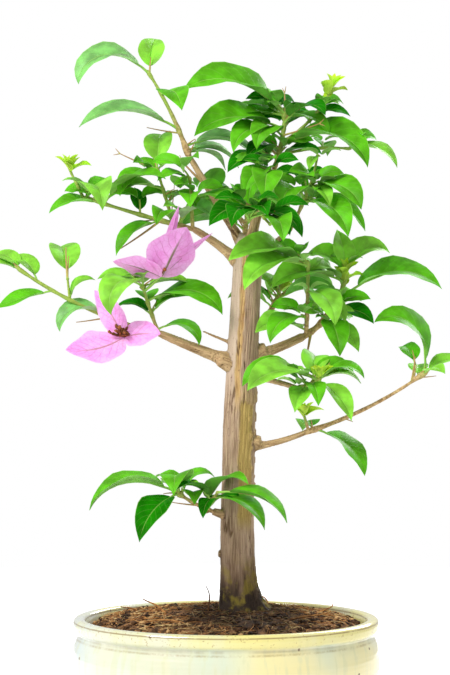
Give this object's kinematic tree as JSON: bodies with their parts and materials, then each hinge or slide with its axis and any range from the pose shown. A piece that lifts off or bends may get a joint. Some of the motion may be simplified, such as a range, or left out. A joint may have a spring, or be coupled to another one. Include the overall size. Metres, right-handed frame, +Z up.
{
  "type": "potted bonsai tree",
  "caption": "Small bougainvillea bonsai with a straight bare trunk, open leafy sprays and lilac bracts, in an oval cream glazed pot.",
  "frame": {"origin": "on the table under the middle of the pot, which is also under the middle of the crown", "axes": "+Z up along the trunk, +X to the viewer's right across the widest side of crown and pot, +Y away from the viewer"},
  "size_m": [0.2424, 0.1263, 0.3525],
  "materials": {
    "glaze": "glossy",
    "soil": "matte",
    "bark": "matte",
    "leaf": "satin",
    "bract": "matte"
  },
  "bodies": {
    "root": {"pot": "glaze", "soil": "soil", "trunk": "bark", "left_bough": "bark", "right_bough": "bark", "low_right_bough": "bark", "mid_right_bough": "bark", "upper_left_bough": "bark", "leader_bough": "bark", "crown_bough": "bark", "upper_right_bough": "bark", "front_bough": "bark", "back_high_bough": "bark", "back_low_bough": "bark", "leader_spray": "leaf", "upper_left_spray": "leaf", "left_spray": "leaf", "right_spray": "leaf", "low_right_spray": "leaf", "mid_right_spray": "leaf", "crown_spray": "leaf", "upper_right_spray": "leaf", "front_spray": "leaf", "back_high_spray": "leaf", "back_low_spray": "leaf", "low_left_spray": "leaf"}
  },
  "joints": []
}
